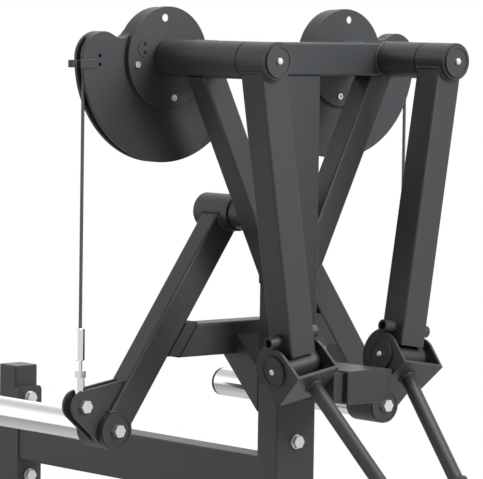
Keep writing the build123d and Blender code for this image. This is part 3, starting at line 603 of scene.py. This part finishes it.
# (millimetres from the top, radius in millimetres) of the plain collar above the ribs.
GRIP_COLLAR = ((0, 12), (0, 16), (1, 17), (5, 17))
# (millimetres from the end, radius in millimetres) of the flange below the ribs.
GRIP_FLANGE = ((8, 17), (6, 19.6), (4.5, 20.6), (2, 20.6), (0.6, 19.2), (0, 16.6))

ROLLER_BORE = 12.6 * MM
ROLLER_FACE = 20 * MM       # radius of the flat round the bore
ROLLER_FACE_RISE = 0.4 * MM
ROLLER_FACE_STEP = 4 * MM   # from the rounded edge inward to where the face rises
ROLLER_EDGE = 15 * MM
ROLLER_EDGE_SETBACK = 0.6 * MM
ROLLER_EDGE_STEPS = 8
ROLLER_CROWN = MM
ROLLER_CROWN_STEPS = 24
ROLLER_SIDES = 96
WASHER_PROUD = 0.5 * MM
WASHER_THICK = 2 * MM
# (millimetres along the axis, radius in millimetres) round a washer's section.
WASHER = ((0, 12.6), (0, 26), (0.5, 27), (1.5, 27), (2, 26), (2, 12.6))


def add_grip(side):
    """Rubber sleeve with rounded ribs, a plain collar at the top and a flange at its end."""
    top, bottom = ends_of(side + "_handle_rod")
    axis = (bottom - top).normalized()
    grip = frame["nodes"][side + "_hand_grip"].data.vertices
    reach = [(vertex.co - top).dot(axis) for vertex in grip]
    start, length = min(reach), max(reach) - min(reach)
    profile = [(far * MM, radius * MM) for far, radius in GRIP_COLLAR]
    ribbed = length - GRIP_RIBS_TO
    steps = round(ribbed / GRIP_RIB_STEP)
    for step in range(1, steps):
        far = GRIP_RIBS_FROM + (ribbed - GRIP_RIBS_FROM) * step / steps
        wave = abs(math.sin(math.pi * far / GRIP_RIB)) ** 0.5
        profile.append((far, GRIP_RADIUS - GRIP_RIB_DEPTH * (1 - wave)))
    profile += [(length - back * MM, radius * MM) for back, radius in GRIP_FLANGE]
    piece = lathe(side + "_grip", top + axis * start, axis, profile, "rubber", side + "_handle")
    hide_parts(side + "_hand_grip")


def add_roller(side):
    """Foam roller, fullest in the middle and rounded at its ends, with a washer at each end."""
    low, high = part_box(side + "_foam_roller")
    radius = (high.z - low.z) / 2
    length = high.x - low.x
    start = Vector((low.x, (low.y + high.y) / 2, (low.z + high.z) / 2))
    rim = radius - ROLLER_CROWN
    end = [(0, ROLLER_BORE), (0, ROLLER_FACE), (ROLLER_FACE_RISE, radius - ROLLER_EDGE - ROLLER_FACE_STEP)]
    for step in range(ROLLER_EDGE_STEPS + 1):
        angle = math.pi / 2 * step / ROLLER_EDGE_STEPS
        end.append((ROLLER_EDGE * (1 - math.cos(angle)) + ROLLER_EDGE_SETBACK,
                    rim - ROLLER_EDGE + ROLLER_EDGE * math.sin(angle)))
    crown = []
    for step in range(1, ROLLER_CROWN_STEPS):
        share = step / ROLLER_CROWN_STEPS
        crown.append((ROLLER_EDGE + (length - 2 * ROLLER_EDGE) * share,
                      rim + ROLLER_CROWN * math.sin(math.pi * share)))
    profile = end + crown + [(length - far, size) for far, size in reversed(end)]
    roller = lathe(side + "_roller_pad", start, ACROSS, profile, "foam", side + "_roller", bored=True,
                   count=ROLLER_SIDES)
    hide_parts(side + "_foam_roller")
    washer = [(far * MM, size * MM) for far, size in WASHER]
    for place, name in ((-WASHER_PROUD, "low"), (length + WASHER_PROUD - WASHER_THICK, "high")):
        lathe(f"{side}_roller_washer_{name}", start + ACROSS * place, ACROSS, washer, "plastic",
              side + "_roller", bored=True)


# ---- seat --------------------------------------------------------------------------------
SEAT_CORNER = 45 * MM
SEAT_CORNER_LEAST = 28 * MM
SEAT_CORNER_STEPS = 10
SEAT_FRONT_HALF = 190 * MM
SEAT_BACK_HALF = 160 * MM
SEAT_BOARD = 12 * MM
SEAT_SWELL = 11 * MM
# (height, inset) of the pad's outlines in millimetres. PAD_SIDE starts at the board's top, and PAD_TOP
# at SEAT_SWELL below the top of the CAD cushion.
PAD_SIDE = ((0, 14), (6, 11), (16, 10))
PAD_TOP = ((-14, 10), (-5, 14), (0, 24), (4, 55), (7, 110))
VOXEL = 6 * MM
HELD_VOXELS = 0.6       # height over the board, in voxels, below which the pad is held
AIR_PRESSURE = 4
CLOTH_FRAMES = 20
SMOOTH_FACTOR = 0.5
SMOOTH_PASSES = 10
PIPING_HEIGHT = 17 * MM     # over the board
PIPING_RADIUS = 2.6 * MM
PIPING_SIDES = 10
PIPING_STEP = 5 * MM
PIPING_PASSES = 4
RAY_START = 50 * MM     # how far outside the pad the search for its surface begins


def seat_outline(z, inset=0.0):
    """The seat's outline at a height: a trapezoid with round corners, narrower at the back."""
    low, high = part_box("seat_cushion")
    corners = [Vector((-SEAT_BACK_HALF + inset, high.y - inset, z)),
               Vector((-SEAT_FRONT_HALF + inset, low.y + inset, z)),
               Vector((SEAT_FRONT_HALF - inset, low.y + inset, z)),
               Vector((SEAT_BACK_HALF - inset, high.y - inset, z))]
    radius = max(SEAT_CORNER - inset, SEAT_CORNER_LEAST)
    outline = []
    for index, corner in enumerate(corners):
        before = (corners[index - 1] - corner).normalized()
        after = (corners[(index + 1) % 4] - corner).normalized()
        half = before.angle(after) / 2
        middle = corner + (before + after).normalized() * (radius / math.sin(half))
        first = (corner + before * (radius / math.tan(half)) - middle).normalized()
        last = (corner + after * (radius / math.tan(half)) - middle).normalized()
        outline += [middle + first.slerp(last, step / SEAT_CORNER_STEPS) * radius
                    for step in range(SEAT_CORNER_STEPS + 1)]
    return outline


def slab(name, levels, material, body):
    """A closed block through outlines listed as (height, inset)."""
    points, faces = skin([seat_outline(z, inset) for z, inset in levels])
    return piece_from(name, points, faces, material, body)


def apply_all(piece):
    """Makes the piece's modifiers part of its mesh."""
    graph = bpy.context.evaluated_depsgraph_get()
    final = bpy.data.meshes.new_from_object(piece.evaluated_get(graph), depsgraph=graph)
    piece.modifiers.clear()
    piece.data = final


def inflate(piece, floor_z):
    """Fills the cushion with air, its underside held on the board, and limits how far each point goes.
"""
    remesh = piece.modifiers.new("remesh", "REMESH")
    remesh.mode = "VOXEL"
    remesh.voxel_size = VOXEL
    apply_all(piece)
    held = piece.vertex_groups.new(name="held")
    held.add([v.index for v in piece.data.vertices if v.co.z < floor_z + VOXEL * HELD_VOXELS], 1.0, "REPLACE")
    before = [vertex.co.copy() for vertex in piece.data.vertices]
    cloth = piece.modifiers.new("cloth", "CLOTH")
    cloth.settings.use_pressure = True
    cloth.settings.uniform_pressure_force = AIR_PRESSURE
    cloth.settings.effector_weights.gravity = 0
    cloth.settings.vertex_group_mass = "held"
    for number in range(1, CLOTH_FRAMES + 1):
        bpy.context.scene.frame_set(number)
    apply_all(piece)
    bpy.context.scene.frame_set(1)
    for vertex, start in zip(piece.data.vertices, before):
        moved = vertex.co - start
        if moved.length > SEAT_SWELL:
            vertex.co = start + moved.normalized() * SEAT_SWELL


def soften(piece):
    smooth = piece.modifiers.new("smooth", "SMOOTH")
    smooth.factor = SMOOTH_FACTOR
    smooth.iterations = SMOOTH_PASSES
    finer = piece.modifiers.new("finer", "SUBSURF")
    finer.levels = 1
    finer.render_levels = 1
    apply_all(piece)
    piece.data.polygons.foreach_set("use_smooth", [True] * len(piece.data.polygons))


def add_seat():
    low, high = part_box("seat_cushion")
    board_top = low.z + SEAT_BOARD
    top = high.z - SEAT_SWELL
    slab("seat_board", [(low.z, 3 * MM), (low.z + MM, 2 * MM), (board_top, 2 * MM)], "plastic", "seat")
    levels = [(board_top + height * MM, inset * MM) for height, inset in PAD_SIDE]
    levels += [(top + height * MM, inset * MM) for height, inset in PAD_TOP]
    cushion = slab("seat_pad", levels, "vinyl", "seat")
    inflate(cushion, board_top)
    soften(cushion)
    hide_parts("seat_cushion")
    add_piping(cushion, board_top + PIPING_HEIGHT, (low + high) / 2)


def add_piping(cushion, z, centre):
    """A welt cord round the side of the cushion, laid on its surface and then smoothed along its length."""
    mesh = cushion.data
    surface = BVHTree.FromPolygons([v.co for v in mesh.vertices], [p.vertices for p in mesh.polygons])
    loop = []
    for point in dense(seat_outline(z), PIPING_STEP):
        inward = (Vector((centre.x, centre.y, z)) - point).normalized()
        hit = surface.ray_cast(point - inward * RAY_START, inward)[0]
        loop.append(hit if hit else point)
    for _ in range(PIPING_PASSES):
        loop = [(loop[i - 1] + loop[i] * 2 + loop[(i + 1) % len(loop)]) / 4 for i in range(len(loop))]
    rings = []
    for index, point in enumerate(loop):
        ahead = (loop[(index + 1) % len(loop)] - loop[index - 1]).normalized()
        rings.append(circle(point, ahead.cross(UP).normalized(), UP, PIPING_RADIUS, PIPING_SIDES))
    points, faces = skin(rings, closed=True)
    piece_from("seat_piping", points, faces, "vinyl", "seat")


def main():
    add_camera()
    add_world()
    make_materials()
    add_stage()
    for light in LIGHTS:
        add_light(*light)
    coat_cad_nodes()
    frame_welds()
    for side, sign in SIDES:
        arm_welds(side)
        anchor_plate(side, sign)
        lever_welds(side)
        rod_weld(side)
        add_cable(side)
        add_grip(side)
        add_roller(side)
    add_seat()


main()
